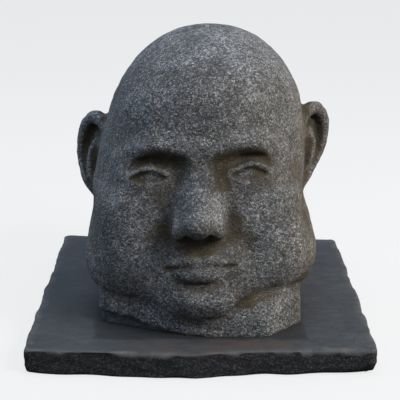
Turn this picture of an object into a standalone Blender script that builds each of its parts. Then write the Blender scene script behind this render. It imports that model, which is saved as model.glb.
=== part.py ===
"""A bald carved stone head on its hewn block, resting on a square split-stone slab.

Metres, +Z up. The origin is the centre of the slab's underside, and the face looks towards -Y.
"""

import bmesh
import bpy
import numpy as np

# Slab: plan corners from the front left, anticlockwise, then its edges
SLAB_THICKNESS = 0.037
SLAB_CORNERS = ((-0.2545, -0.247), (0.2505, -0.247), (0.2480, 0.238), (-0.2540, 0.260))
CORNER_ROUND = 0.012
FRONT_BULGE = 0.012
FRONT_BULGE_AT = -0.035
FRONT_BULGE_HALF = 0.085
EDGE_WANDER = 0.0010
TOP_CHIP = 0.0035
BOTTOM_WEAR = 0.0040
CORNER_WEAR = (0.0075, 0.0125, 0.006, 0.006)
CORNER_FADE = 16
SIDE_POINTS = 14
CORNER_POINTS = 4
HAND_SEED = 11

# Head: its own units run from 0 at the chin to 1 at the crown
HEAD_HEIGHT = 0.428
HEAD_BREADTH = 1.09
HEAD_ROLL = np.radians(2.5)
CROWN_SWAY = 0.045
SWAY_FROM = 0.45
HEAD_LEAN_BACK = np.radians(9)
HEAD_AT = (0.005, -0.040, 0.032)
REST_GAP = 0.0003

# Eye: centre, outward turn, ball radii and the opening between the lids
EYE_AT = (0.137, -0.270, 0.498)
EYE_TURN = np.radians(14)
EYEBALL = (0.104, 0.080, 0.072)
LID_OVER = (0.010, 0.009, 0.010)
EYE_HALF = 0.071
LID_RISE = 0.034
LID_FALL = 0.022

# Ear: centre, size, flare from the head and lean
EAR_AT = (0.314, 0.035, 0.518)
EAR_SIZE = 1.12
EAR_FLARE = np.radians(36)
EAR_LEAN = np.radians(8)

# Block: each hewn face has an azimuth from the front, a lean and a distance from the axis
BLOCK_AT = (0.0, -0.032, SLAB_THICKNESS)
BLOCK_ARRIS = 0.007
BLOCK_SIDES = (
    (0, 6, 0.165), (47, 4, 0.186), (92, 3, 0.149), (135, 4, 0.194), (180, 4, 0.168),
    (225, 4, 0.194), (268, 3, 0.149), (313, 4, 0.184), (340, 4, 0.159),
)
BLOCK_SHOULDERS = (
    (2, 50, 0.133), (46, 42, 0.166), (90, 50, 0.152), (136, 46, 0.174), (180, 46, 0.158),
    (224, 46, 0.174), (270, 50, 0.152), (314, 42, 0.166), (340, 46, 0.138),
)
BLOCK_TOP = 0.105
BLOCK_BELOW = 0.02

# Mesh: the net's cell and bounds, the most triangles on the head and the least angle of a sharp edge
NET_CELL = 0.0058
NET_LOW = (-0.225, -0.265, 0.005)
NET_HIGH = (0.215, 0.215, 0.480)
HEAD_TRIANGLES = 8900
SHARP_FROM = np.radians(50)

STONE = ("carved_stone", (0.105, 0.110, 0.118, 1), 0.85)
SLATE = ("split_slab", (0.052, 0.058, 0.066, 1), 0.90)

REAL = np.float32


def row(values):
    return np.asarray(values, REAL)


# Fields: negative inside a form, positive outside

def lump(p, centre, radii):
    """An ellipsoid."""
    q = (p - row(centre)) / row(radii)
    depth = np.sqrt(np.einsum("ij,ij->i", q, q))
    q /= row(radii)
    slope = np.sqrt(np.einsum("ij,ij->i", q, q))
    return depth * (depth - 1) / np.maximum(slope, 1e-6)


def rod(p, start, end, start_radius, end_radius):
    """A round-ended tapered rod."""
    start, end = row(start), row(end)
    along = end - start
    t = np.clip(((p - start) @ along) / (along @ along), 0, 1)
    q = p - start - t[:, None] * along
    return np.sqrt(np.einsum("ij,ij->i", q, q)) - (start_radius + t * (end_radius - start_radius))


def smooth_path(points, count):
    """Points on a smooth curve through the given ones."""
    knots = np.asarray(points, float)
    knots = np.vstack([2 * knots[0] - knots[1], knots, 2 * knots[-1] - knots[-2]])
    places = []
    for s in np.linspace(0, len(points) - 1, count):
        i = min(int(s), len(points) - 2)
        t = s - i
        a, b, c, d = knots[i:i + 4]
        bend = (2 * a - 5 * b + 4 * c - d) * t**2 + (3 * b - a - 3 * c + d) * t**3
        places.append((2 * b + (c - a) * t + bend) / 2)
    return row(places)


def ridge(p, points, radii, count=9):
    """A rod bent along a smooth curve, with its radius running through the given ones."""
    path = smooth_path(points, count)
    radius = np.interp(np.linspace(0, 1, count), np.linspace(0, 1, len(radii)), radii)
    rods = [rod(p, path[i], path[i + 1], radius[i], radius[i + 1]) for i in range(count - 1)]
    return np.minimum.reduce(rods)


def join(a, b, blend):
    """Both forms, with a fillet as wide as the blend."""
    h = np.maximum(blend - np.abs(a - b), 0) / blend
    return np.minimum(a, b) - h * h * blend / 4


def carve(a, b, blend):
    """The first form with the second taken away."""
    return -join(-a, b, blend)


def close_to(d, p, centre, reach, feature):
    """Works a feature into the field, only at the points within reach of its centre."""
    q = p - row(centre)
    at = np.flatnonzero(np.einsum("ij,ij->i", q, q) < reach * reach)
    if len(at):
        d[at] = feature(d[at], p[at])
    return d


# The head, in its own units, with x taken as the distance from the middle plane

def skull(p):
    d = lump(p, (0, 0.05, 0.640), (0.328, 0.39, 0.374))
    d = join(d, lump(p, (0, -0.13, 0.675), (0.264, 0.262, 0.245)), 0.10)
    d = join(d, lump(p, (0.03, -0.02, 0.50), (0.300, 0.31, 0.24)), 0.10)
    d = join(d, lump(p, (0, -0.085, 0.38), (0.325, 0.275, 0.26)), 0.10)
    d = join(d, lump(p, (0.10, -0.095, 0.220), (0.262, 0.235, 0.18)), 0.08)
    d = join(d, lump(p, (0.17, 0, 0.26), (0.192, 0.20, 0.18)), 0.08)
    d = join(d, lump(p, (0.125, -0.160, 0.175), (0.232, 0.200, 0.145)), 0.08)
    return join(d, lump(p, (0, -0.260, 0.10), (0.16, 0.13, 0.10)), 0.08)


def cheeks(d, p):
    d = join(d, lump(p, (0.175, -0.235, 0.305), (0.130, 0.115, 0.125)), 0.08)
    d = join(d, lump(p, (0.205, -0.215, 0.405), (0.10, 0.10, 0.06)), 0.08)
    return join(d, lump(p, (0, -0.282, 0.225), (0.150, 0.128, 0.12)), 0.06)


def chin(d, p):
    d = join(d, lump(p, (0, -0.350, 0.080), (0.090, 0.070, 0.066)), 0.06)
    return carve(d, lump(p, (0, -0.455, 0.140), (0.07, 0.04, 0.018)), 0.04)


def brows(d, p):
    arch = [(0.035, -0.360, 0.578), (0.09, -0.364, 0.597), (0.16, -0.340, 0.600),
            (0.225, -0.275, 0.574), (0.25, -0.225, 0.54)]
    d = join(d, ridge(p, arch, [0.012, 0.015, 0.014, 0.009, 0.004]), 0.06)
    return join(d, lump(p, (0, -0.350, 0.580), (0.05, 0.035, 0.040)), 0.05)


def lid_path(rise, over, lift=0.0, reach=(-1.0, 1.0)):
    """Points over the eyeball from the inner corner to the outer one, in the eye's own frame."""
    t = np.linspace(*reach, 11)
    x = EYE_HALF * t
    z = lift + rise * (1 - t * t)
    wide, deep, high = EYEBALL
    y = -deep * np.sqrt(np.maximum(1 - (x / wide) ** 2 - (z / high) ** 2, 0.05)) - over
    return np.stack([x, y, z], 1)


def eyes(d, p):
    d = carve(d, lump(p, (0.135, -0.436, 0.515), (0.090, 0.105, 0.062)), 0.05)
    d = carve(d, lump(p, (0.066, -0.408, 0.500), (0.020, 0.045, 0.035)), 0.05)
    q = p - row(EYE_AT)
    c, s = REAL(np.cos(EYE_TURN)), REAL(np.sin(EYE_TURN))
    e = np.stack([c * q[:, 0] + s * q[:, 1], c * q[:, 1] - s * q[:, 0], q[:, 2]], 1)
    arch = 1 - (e[:, 0] / REAL(EYE_HALF)) ** 2
    opening = np.maximum(e[:, 2] - REAL(LID_RISE) * arch, -e[:, 2] - REAL(LID_FALL) * arch)
    lids = lump(e, (0, 0, 0.002), np.add(EYEBALL, LID_OVER))
    lids = carve(lids, np.maximum(opening, e[:, 1]), 0.006)
    d = join(d, lids, 0.035)
    d = join(d, lump(e, (0, 0, 0), EYEBALL), 0.005)
    upper = lid_path(LID_RISE, 0.005, reach=(-1, 1.06))
    lower = lid_path(-LID_FALL, 0.002)
    fold = lid_path(LID_RISE, 0.025, 0.028, (-0.7, 0.9))
    d = join(d, ridge(e, upper, [0.007, 0.0105, 0.0115, 0.011, 0.008], 11), 0.008)
    d = join(d, ridge(e, lower, [0.007, 0.008, 0.0085, 0.008, 0.007], 11), 0.008)
    return carve(d, ridge(e, fold, [0.003, 0.008, 0.009, 0.008, 0.003], 11), 0.020)


def nose(d, p):
    n = rod(p, (0, -0.350, 0.545), (0, -0.438, 0.368), 0.030, 0.034)
    n = join(n, rod(p, (0.014, -0.325, 0.50), (0.036, -0.382, 0.352), 0.036, 0.045), 0.06)
    n = join(n, lump(p, (0, -0.458, 0.345), (0.040, 0.040, 0.037)), 0.035)
    n = join(n, lump(p, (0.054, -0.408, 0.330), (0.030, 0.043, 0.033)), 0.022)
    n = join(n, rod(p, (0, -0.450, 0.320), (0, -0.40, 0.302), 0.014, 0.016), 0.02)
    nostril = rod(p, (0.031, -0.443, 0.300), (0.035, -0.41, 0.322), 0.011, 0.009)
    return carve(join(d, n, 0.035), nostril, 0.012)


def mouth(d, p):
    upper = [(0.104, -0.360, 0.202), (0.066, -0.390, 0.213), (0.028, -0.411, 0.226), (0, -0.412, 0.222)]
    lower = [(0.096, -0.360, 0.196), (0.060, -0.386, 0.185), (0.026, -0.400, 0.178), (0, -0.401, 0.178)]
    line = [(0.106, -0.384, 0.1985), (0.076, -0.404, 0.199), (0.03, -0.436, 0.2005), (0, -0.438, 0.198)]
    fold = [(0.098, -0.400, 0.340), (0.126, -0.400, 0.295), (0.146, -0.386, 0.245)]
    d = join(d, ridge(p, upper, [0.006, 0.016, 0.020, 0.019]), 0.022)
    d = join(d, ridge(p, lower, [0.006, 0.018, 0.025, 0.026]), 0.022)
    d = carve(d, ridge(p, line, [0.003, 0.0060, 0.0066, 0.0066]), 0.010)
    d = carve(d, rod(p, (0, -0.440, 0.288), (0, -0.448, 0.250), 0.008, 0.014), 0.025)
    return carve(d, ridge(p, fold, [0.002, 0.007, 0.002], 6), 0.05)


def ear(d, p):
    """In the ear's own frame x runs back along it, y up and z out of the head."""
    q = (p - row(EAR_AT)) / REAL(EAR_SIZE)
    c, s = REAL(np.cos(EAR_FLARE)), REAL(np.sin(EAR_FLARE))
    back, out, up = q[:, 1] * c + q[:, 0] * s, q[:, 0] * c - q[:, 1] * s, q[:, 2]
    c, s = REAL(np.cos(EAR_LEAN)), REAL(np.sin(EAR_LEAN))
    e = np.stack([back * c - up * s, back * s + up * c, out], 1)
    rim = [(-0.035, 0.055, 0.016), (-0.030, 0.125, 0.026), (0.025, 0.158, 0.030), (0.085, 0.12, 0.030),
           (0.100, 0.04, 0.028), (0.070, -0.05, 0.022), (0.02, -0.115, 0.014)]
    inner_rim = [(0.02, 0.085, 0.018), (0.052, 0.045, 0.026), (0.050, -0.02, 0.026), (0.015, -0.07, 0.02)]
    shell = lump(e, (0.02, 0.02, -0.002), (0.088, 0.138, 0.034))
    shell = join(shell, lump(e, (-0.006, -0.105, 0.002), (0.046, 0.05, 0.028)), 0.03)
    shell = join(shell, ridge(e, rim, [0.014, 0.021, 0.022, 0.021, 0.020, 0.018, 0.015], 15), 0.014)
    shell = join(shell, ridge(e, inner_rim, [0.010, 0.014, 0.014, 0.010], 8), 0.014)
    shell = carve(shell, lump(e, (-0.005, 0.005, 0.036), (0.036, 0.056, 0.032)), 0.014)
    shell = join(shell, lump(e, (-0.045, -0.012, 0.020), (0.016, 0.026, 0.018)), 0.014)
    root = rod(e, (-0.015, 0.065, -0.032), (-0.015, -0.075, -0.032), 0.050, 0.044)
    return join(d, join(shell, root, 0.03) * REAL(EAR_SIZE), 0.022)


# Each feature with the centre and the reach of the points that it touches
FEATURES = (
    (cheeks, (0.15, -0.23, 0.32), 0.32),
    (chin, (0, -0.38, 0.10), 0.20),
    (brows, (0.13, -0.34, 0.58), 0.22),
    (eyes, (0.137, -0.35, 0.51), 0.17),
    (nose, (0.03, -0.41, 0.40), 0.22),
    (mouth, (0.06, -0.40, 0.24), 0.19),
    (ear, (0.344, 0.065, 0.518), 0.28),
)


def head(p):
    """The head where it stands: leant back, rolled to one side, its crown swayed to the other, and scaled."""
    q = p - row(HEAD_AT)
    c, s = REAL(np.cos(HEAD_ROLL)), REAL(np.sin(HEAD_ROLL))
    x, z = c * q[:, 0] + s * q[:, 2], c * q[:, 2] - s * q[:, 0]
    c, s = REAL(np.cos(HEAD_LEAN_BACK)), REAL(np.sin(HEAD_LEAN_BACK))
    y, z = c * q[:, 1] - s * z, s * q[:, 1] + c * z
    q = np.stack([x / REAL(HEAD_BREADTH), y, z], 1) / REAL(HEAD_HEIGHT)
    rise = np.clip((q[:, 2] - REAL(SWAY_FROM)) / REAL(1 - SWAY_FROM), 0, None)
    q[:, 0] = np.abs(q[:, 0] - REAL(CROWN_SWAY) * rise * (2 - rise))
    d = skull(q)
    for feature, centre, reach in FEATURES:
        d = close_to(d, q, centre, reach, feature)
    return d * REAL(HEAD_HEIGHT)


def block(p):
    """The uncarved lower block: hewn sides and sloping shoulders, softened at the arrises."""
    q = p - row(BLOCK_AT)
    d = q[:, 2] - REAL(BLOCK_TOP)
    for azimuth, lean, distance in BLOCK_SIDES + BLOCK_SHOULDERS:
        a, e = np.radians(azimuth), np.radians(lean)
        outward = row((np.sin(a) * np.cos(e), -np.cos(a) * np.cos(e), np.sin(e)))
        d = -join(-d, REAL(distance) - q @ outward, BLOCK_ARRIS)
    return d


def neck(p):
    d = lump(p, (0, -0.012, 0.10), (0.122, 0.115, 0.10))
    return join(d, rod(p, (0, 0.018, 0.06), (0, 0.048, 0.22), 0.100, 0.095), 0.04)


def sculpture(p):
    d = join(join(head(p), neck(p), 0.02), block(p), 0.008)
    return np.maximum(d, REAL(SLAB_THICKNESS - BLOCK_BELOW) - p[:, 2])


# Meshing: one vertex in each cell that the surface crosses

CELL_CORNERS = [(a, b, c) for a in (0, 1) for b in (0, 1) for c in (0, 1)]
PROBES = row([(1, -1, -1), (-1, -1, 1), (-1, 1, -1), (1, 1, 1)])


def sampled(field, low, cell, counts):
    """The field on a grid, worked out one level at a time."""
    axes = [low[i] + cell * np.arange(counts[i]) for i in range(3)]
    x, y = np.meshgrid(axes[0], axes[1], indexing="ij")
    level = row(np.stack([x.ravel(), y.ravel(), np.zeros(x.size)], 1))
    values = np.empty(counts, REAL)
    for k, z in enumerate(axes[2]):
        level[:, 2] = z
        values[:, :, k] = field(level).reshape(x.shape)
    return values


def crossing_vertices(values, active):
    """For each active cell, the mean of the places where its edges cross the surface, in cells."""
    total, count = np.zeros((len(active), 3)), np.zeros(len(active))
    for corner in CELL_CORNERS:
        for axis in (i for i in range(3) if not corner[i]):
            step = np.eye(3, dtype=int)[axis]
            near = values[tuple((active + corner).T)]
            far = values[tuple((active + corner + step).T)]
            crossed = (near < 0) != (far < 0)
            t = np.where(crossed, near / np.where(crossed, near - far, 1), 0)
            total += (np.asarray(corner) + t[:, None] * step) * crossed[:, None]
            count += crossed
    return active + total / count[:, None]


def crossing_quads(inside, index):
    """A quad across each grid edge that the surface crosses, wound to face outwards."""
    quads = []
    for axis in range(3):
        u, w = (axis + 1) % 3, (axis + 2) % 3
        near = [slice(1, -1)] * 3
        far = [slice(1, -1)] * 3
        near[axis], far[axis] = slice(0, -1), slice(1, None)
        a, b = inside[tuple(near)], inside[tuple(far)]
        at = np.argwhere(a != b)
        leaving = a[tuple(at.T)]
        at[:, [u, w]] += 1
        ring = []
        for du, dw in ((-1, -1), (0, -1), (0, 0), (-1, 0)):
            cell = at.copy()
            cell[:, u] += du
            cell[:, w] += dw
            ring.append(index[tuple(cell.T)])
        quad = np.stack(ring, 1)
        quad[~leaving] = quad[~leaving][:, ::-1]
        quads.append(quad)
    return np.concatenate(quads)


def surface_net(field, low, high, cell):
    low = np.asarray(low, float)
    counts = np.ceil((np.asarray(high) - low) / cell).astype(int) + 1
    values = sampled(field, low, cell, counts)
    inside = values < 0
    corners_in = np.zeros(counts - 1, int)
    for a, b, c in CELL_CORNERS:
        corners_in += inside[a:counts[0] - 1 + a, b:counts[1] - 1 + b, c:counts[2] - 1 + c]
    active = np.argwhere((corners_in > 0) & (corners_in < len(CELL_CORNERS)))
    index = np.full(counts - 1, -1)
    index[tuple(active.T)] = np.arange(len(active))
    return low + cell * crossing_vertices(values, active), crossing_quads(inside, index)


def settled(field, points, quads, cell, rounds=3):
    """Evens the vertices out and then puts each one back on the surface."""
    edges = np.concatenate([quads[:, [i, (i + 1) % 4]] for i in range(4)])
    edges = np.concatenate([edges, edges[:, ::-1]])
    links = np.bincount(edges[:, 0], minlength=len(points))[:, None]
    p = row(points)
    for _ in range(rounds):
        sums = [np.bincount(edges[:, 0], p[edges[:, 1], i], len(p)) for i in range(3)]
        p = row((p + np.stack(sums, 1) / links) / 2)
        for _ in range(2):
            probes = [field(p + REAL(cell / 8) * probe) for probe in PROBES]
            slope = sum(v[:, None] * probe for v, probe in zip(probes, PROBES)) / (cell / 2)
            move = sum(probes)[:, None] / 4 * slope / np.maximum((slope**2).sum(1), 0.05)[:, None]
            far = np.linalg.norm(move, axis=1)
            p = row(p - move * np.minimum(1, cell / np.maximum(far, 1e-9))[:, None])
    return p


# The slab: a closed ring of plan points, drawn in and raised level by level

def slab_ring():
    """Plan points of the slab's edge, with the outward direction and the corners' wear at each."""
    corners = np.array(SLAB_CORNERS)
    points, normals, wear = [], [], []
    for i, corner in enumerate(corners):
        after = corners[(i + 1) % 4]
        back, on = corners[i - 1] - corner, after - corner
        back, on = back / np.linalg.norm(back), on / np.linalg.norm(on)
        centre = corner + CORNER_ROUND * (back + on)
        for t in np.linspace(0, np.pi / 2, CORNER_POINTS):
            out = -np.cos(t) * on - np.sin(t) * back
            points.append(centre + CORNER_ROUND * out)
            normals.append(out)
        wear += [CORNER_WEAR[i]] * CORNER_POINTS
        outward = np.array((on[1], -on[0]))
        start, end = corner + CORNER_ROUND * on, after - CORNER_ROUND * on
        for t in np.linspace(0, 1, SIDE_POINTS + 2)[1:-1]:
            points.append(start + t * (end - start))
            normals.append(outward)
            wear.append(CORNER_WEAR[i] * np.exp(-t * CORNER_FADE)
                        + CORNER_WEAR[(i + 1) % 4] * np.exp((t - 1) * CORNER_FADE))
    return np.array(points), np.array(normals), np.array(wear)


def hand_waves(turn, rng, waves, strength):
    """A closed, wandering line around the slab: a few sine waves with their phases drawn at random."""
    return strength * sum(np.sin(wave * turn + rng.uniform(0, 2 * np.pi)) for wave in waves)


def slab_levels():
    """Rings of points from the underside's edge to the top face's edge."""
    rng = np.random.default_rng(HAND_SEED)
    plan, normal, corner_wear = slab_ring()
    turn = np.arctan2(plan[:, 1], plan[:, 0])
    along_front = np.exp(-((plan[:, 0] - FRONT_BULGE_AT) / FRONT_BULGE_HALF) ** 2)
    bulge = FRONT_BULGE * along_front * np.clip(-normal[:, 1], 0, 1)
    wander = hand_waves(turn, rng, (3, 7, 13, 22), EDGE_WANDER / 2)
    edge = plan + normal * (bulge + wander)[:, None]
    edge -= (edge.max(0) + edge.min(0)) / 2
    chip = TOP_CHIP * np.clip(1 + hand_waves(turn, rng, (7, 12, 19, 31), 0.35), 0.3, 2)
    wear = BOTTOM_WEAR * np.clip(1 + hand_waves(turn, rng, (4, 8, 15, 27), 0.3), 0.4, 2)
    wear = wear + corner_wear
    profile = [(wear, 0 * wear), (wear * 0.3, wear * 0.3), (0 * wear, wear),
               (0 * chip, SLAB_THICKNESS - chip), (chip * 0.35, SLAB_THICKNESS - chip * 0.35),
               (chip, SLAB_THICKNESS + 0 * chip)]
    return [np.column_stack([edge - normal * inset[:, None], height]) for inset, height in profile]


# Objects

def stone_material(name, colour, roughness):
    material = bpy.data.materials.new(name)
    material.use_nodes = True
    shader = material.node_tree.nodes["Principled BSDF"]
    shader.inputs["Base Color"].default_value = colour
    shader.inputs["Roughness"].default_value = roughness
    shader.inputs["Metallic"].default_value = 0
    return material


def add_object(name, mesh, finish):
    mesh.materials.append(stone_material(*finish))
    piece = bpy.data.objects.new(name, mesh)
    bpy.context.collection.objects.link(piece)
    return piece


def thinned(mesh, triangles):
    """The mesh brought down to a number of triangles, which keeps the most where the carving is."""
    carrier = bpy.data.objects.new("carrier", mesh)
    bpy.context.collection.objects.link(carrier)
    modifier = carrier.modifiers.new("thin", "DECIMATE")
    modifier.ratio = triangles / (2 * len(mesh.polygons))
    graph = bpy.context.evaluated_depsgraph_get()
    result = bpy.data.meshes.new_from_object(carrier.evaluated_get(graph))
    bpy.data.objects.remove(carrier)
    return result


def cut_flat_below(mesh, height):
    """Takes away all that is below a height and closes the mesh with a flat face."""
    bm = bmesh.new()
    bm.from_mesh(mesh)
    everything = bm.verts[:] + bm.edges[:] + bm.faces[:]
    found = bmesh.ops.bisect_plane(
        bm, geom=everything, dist=1e-5, plane_co=(0, 0, height), plane_no=(0, 0, 1), clear_inner=True)
    rim = [item for item in found["geom_cut"] if isinstance(item, bmesh.types.BMEdge)]
    for edge in rim:
        for vertex in edge.verts:
            vertex.co.z = height
    bmesh.ops.contextual_create(bm, geom=rim)
    bmesh.ops.recalc_face_normals(bm, faces=bm.faces)
    bm.to_mesh(mesh)
    bm.free()


def build_head():
    points, quads = surface_net(sculpture, NET_LOW, NET_HIGH, NET_CELL)
    points = settled(sculpture, points, quads, NET_CELL)
    mesh = bpy.data.meshes.new("head")
    mesh.from_pydata(points.tolist(), [], quads.tolist())
    mesh = thinned(mesh, HEAD_TRIANGLES)
    cut_flat_below(mesh, SLAB_THICKNESS + REST_GAP)
    mesh.shade_smooth()
    mesh.set_sharp_from_angle(angle=SHARP_FROM)
    return add_object("head", mesh, STONE)


def build_slab():
    levels = slab_levels()
    count = len(levels[0])
    around = np.arange(count)
    faces = [around[::-1].tolist()]
    for level in range(len(levels) - 1):
        low, high = level * count + around, (level + 1) * count + around
        faces += np.stack([low, np.roll(low, -1), np.roll(high, -1), high], 1).tolist()
    faces.append(((len(levels) - 1) * count + around).tolist())
    mesh = bpy.data.meshes.new("base_slab")
    mesh.from_pydata(np.concatenate(levels).tolist(), [], faces)
    return add_object("base_slab", mesh, SLATE)


def main():
    for item in list(bpy.data.objects):
        bpy.data.objects.remove(item)
    build_slab()
    build_head()


main()
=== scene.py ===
"""Dresses the stone head and its slab: speckled weathered granite on a dark riven paving stone.

Metres, +Z up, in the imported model's frame. The face looks towards -Y.
"""

import bmesh
import bpy
import numpy as np
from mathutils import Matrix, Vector


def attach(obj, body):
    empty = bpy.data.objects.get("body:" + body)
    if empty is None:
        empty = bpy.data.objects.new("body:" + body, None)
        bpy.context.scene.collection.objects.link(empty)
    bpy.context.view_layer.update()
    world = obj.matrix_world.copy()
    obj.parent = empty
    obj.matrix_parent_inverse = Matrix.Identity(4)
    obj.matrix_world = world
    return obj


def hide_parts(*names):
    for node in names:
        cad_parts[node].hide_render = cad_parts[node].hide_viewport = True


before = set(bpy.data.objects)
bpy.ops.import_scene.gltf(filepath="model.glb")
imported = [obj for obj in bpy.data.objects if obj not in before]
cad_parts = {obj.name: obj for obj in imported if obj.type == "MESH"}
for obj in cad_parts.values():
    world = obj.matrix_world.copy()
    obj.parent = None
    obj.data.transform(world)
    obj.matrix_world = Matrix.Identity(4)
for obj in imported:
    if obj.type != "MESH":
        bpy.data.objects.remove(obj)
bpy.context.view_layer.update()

# Slab: plan corners from the front left, anticlockwise, then its edges
SLAB_THICKNESS = 0.037
SLAB_CORNERS = ((-0.2545, -0.247), (0.2505, -0.247), (0.2480, 0.238), (-0.2540, 0.260))
CORNER_ROUND = 0.012
FRONT_BULGE = 0.012
FRONT_BULGE_AT = -0.035
FRONT_BULGE_HALF = 0.085
EDGE_WANDER = 0.0010
TOP_CHIP = 0.0035
BOTTOM_WEAR = 0.0040
CORNER_WEAR = (0.0075, 0.0125, 0.006, 0.006)
CORNER_FADE = 16
HAND_SEED = 11

# Slab detail: mesh pitch, rings on the top face, broken sides, riven top and the spalls on its front arris
SLAB_PITCH = 0.003
TOP_RING_STEP = 0.0035
TOP_RINGS_TO = 0.42
SIDE_ROUGH = 0.0026
RIVEN_DEPTH = 0.0007
SPALLS = ((0.150, 0.011, 0.0045), (0.118, 0.018, 0.0030), (-0.060, 0.030, 0.0025), (-0.205, 0.016, 0.0025))

# Head: its own units run from 0 at the chin to 1 at the crown
HEAD_HEIGHT = 0.428
HEAD_BREADTH = 1.09
HEAD_ROLL = np.radians(2.5)
CROWN_SWAY = 0.045
SWAY_FROM = 0.45
HEAD_LEAN_BACK = np.radians(9)
HEAD_AT = (0.005, -0.040, 0.032)
REST_GAP = 0.0003

# Eye: centre, outward turn, ball radii and the opening between the lids
EYE_AT = (0.137, -0.270, 0.498)
EYE_TURN = np.radians(14)
EYEBALL = (0.104, 0.080, 0.072)
LID_OVER = (0.010, 0.009, 0.010)
EYE_HALF = 0.071
LID_RISE = 0.034
LID_FALL = 0.022

# Ear: centre, size, flare from the head and lean
EAR_AT = (0.314, 0.035, 0.518)
EAR_SIZE = 1.12
EAR_FLARE = np.radians(36)
EAR_LEAN = np.radians(8)

# Block: each hewn face has an azimuth from the front, a lean and a distance from the axis
BLOCK_AT = (0.0, -0.032, SLAB_THICKNESS)
BLOCK_ARRIS = 0.007
BLOCK_SIDES = (
    (0, 6, 0.165), (47, 4, 0.186), (92, 3, 0.149), (135, 4, 0.194), (180, 4, 0.168),
    (225, 4, 0.194), (268, 3, 0.149), (313, 4, 0.184), (340, 4, 0.159),
)
BLOCK_SHOULDERS = (
    (2, 50, 0.133), (46, 42, 0.166), (90, 50, 0.152), (136, 46, 0.174), (180, 46, 0.158),
    (224, 46, 0.174), (270, 50, 0.152), (314, 42, 0.166), (340, 46, 0.138),
)
BLOCK_TOP = 0.105
BLOCK_BELOW = 0.02

# Head mesh: the coarse net's cell, which is then halved, and the net's bounds
NET_CELL = 0.0062
NET_LOW = (-0.225, -0.265, 0.005)
NET_HIGH = (0.215, 0.215, 0.480)

# Weathering of the carved stone: wave sizes with their heights, and pits with their cell, chance and depth
WEATHERING = ((0.060, 0.0010), (0.024, 0.0007), (0.011, 0.0005), (0.0065, 0.0003))
PITS = ((0.026, 0.30, 0.0015), (0.014, 0.30, 0.0009))
NAMED_PITS = (
    ((-0.001, -0.085, 0.4435), 0.0042, 0.0035),
    ((0.006, -0.055, 0.4540), 0.0030, 0.0022),
    ((0.136, -0.110, 0.262), 0.0040, 0.0035),
)
BROKEN_BAND = 0.023
BROKEN_BAND_ENDS = (-0.150, -0.020)
BROKEN_DEPTH = 0.0035

# Tones, as linear colours
GRAIN_TONES = (
    (0.00, (0.020, 0.021, 0.024)), (0.30, (0.050, 0.053, 0.058)), (0.60, (0.120, 0.124, 0.130)),
    (0.84, (0.230, 0.232, 0.232)), (0.97, (0.520, 0.510, 0.490)),
)
FLECK_TONES = (
    (0.00, (0.018, 0.019, 0.021)), (0.50, (0.085, 0.088, 0.093)), (0.80, (0.200, 0.200, 0.200)),
    (0.95, (0.620, 0.600, 0.570)),
)
# Dark soil tones, also used to paint the shade in hollows, on undersides and at the block's foot
SOIL_AND_SHADE_TONES = ((0.25, (0.014, 0.012, 0.008)), (0.75, (0.085, 0.060, 0.026)))
SLATE_TONES = ((0.25, (0.030, 0.032, 0.036)), (0.50, (0.046, 0.049, 0.053)), (0.80, (0.070, 0.073, 0.076)))

# The photograph's view, from a camera straight in front of the slab
CAMERA_AT = (0, -1.578, 0.6638)
CAMERA_PITCH = np.radians(90 - 16.9)
CAMERA_LENS = 93.24

REAL = np.float32
NOISE_SEED = 5
LATTICE = np.random.default_rng(NOISE_SEED).random((64, 64, 64)).astype(REAL)
CELL_CORNERS = [(a, b, c) for a in (0, 1) for b in (0, 1) for c in (0, 1)]
PROBES = np.array([(1, -1, -1), (-1, -1, 1), (-1, 1, -1), (1, 1, 1)], REAL)


def row(values):
    return np.asarray(values, REAL)


# Noise and marks, the same on every run

def drawn(cell, pattern):
    """A random value from 0 to 1 for each lattice cell, from one of many patterns."""
    return LATTICE[tuple(((cell + 17 * pattern) % len(LATTICE)).T)]


def noise(p, size, pattern=0):
    """Smooth random values from -1 to 1, in waves of that size."""
    q = p / REAL(size)
    cell = np.floor(q).astype(int)
    t = q - cell
    t = t * t * (3 - 2 * t)
    value = 0
    for corner in CELL_CORNERS:
        weight = np.prod(np.where(corner, t, 1 - t), axis=1)
        value = value + weight * drawn(cell + corner, pattern)
    return 2 * value - 1


def marks(p, size, chance, pattern):
    """Round marks, at most one in a cell: 1 in the middle of a mark and 0 outside it."""
    q = p / REAL(size)
    cell = np.floor(q).astype(int)
    draws = [drawn(cell, pattern + n) for n in range(5)]
    centre = cell + 0.3 + 0.4 * np.stack(draws[:3], 1)
    away = np.linalg.norm(q - centre, axis=1) / (0.12 + 0.18 * draws[3])
    return np.clip(1 - away**2, 0, 1) * (draws[4] < chance)


def fade(value, low, high):
    """0 below low, 1 above high and a smooth step between them."""
    t = np.clip((value - low) / (high - low), 0, 1)
    return t * t * (3 - 2 * t)


# Fields: negative inside a form, positive outside

def lump(p, centre, radii):
    """An ellipsoid."""
    q = (p - row(centre)) / row(radii)
    depth = np.sqrt(np.einsum("ij,ij->i", q, q))
    q /= row(radii)
    slope = np.sqrt(np.einsum("ij,ij->i", q, q))
    return depth * (depth - 1) / np.maximum(slope, 1e-6)


def rod(p, start, end, start_radius, end_radius):
    """A round-ended tapered rod."""
    start, end = row(start), row(end)
    along = end - start
    t = np.clip(((p - start) @ along) / (along @ along), 0, 1)
    q = p - start - t[:, None] * along
    return np.sqrt(np.einsum("ij,ij->i", q, q)) - (start_radius + t * (end_radius - start_radius))


def smooth_path(points, count):
    """Points on a smooth curve through the given ones."""
    knots = np.asarray(points, float)
    knots = np.vstack([2 * knots[0] - knots[1], knots, 2 * knots[-1] - knots[-2]])
    places = []
    for s in np.linspace(0, len(points) - 1, count):
        i = min(int(s), len(points) - 2)
        t = s - i
        a, b, c, d = knots[i:i + 4]
        bend = (2 * a - 5 * b + 4 * c - d) * t**2 + (3 * b - a - 3 * c + d) * t**3
        places.append((2 * b + (c - a) * t + bend) / 2)
    return row(places)


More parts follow.
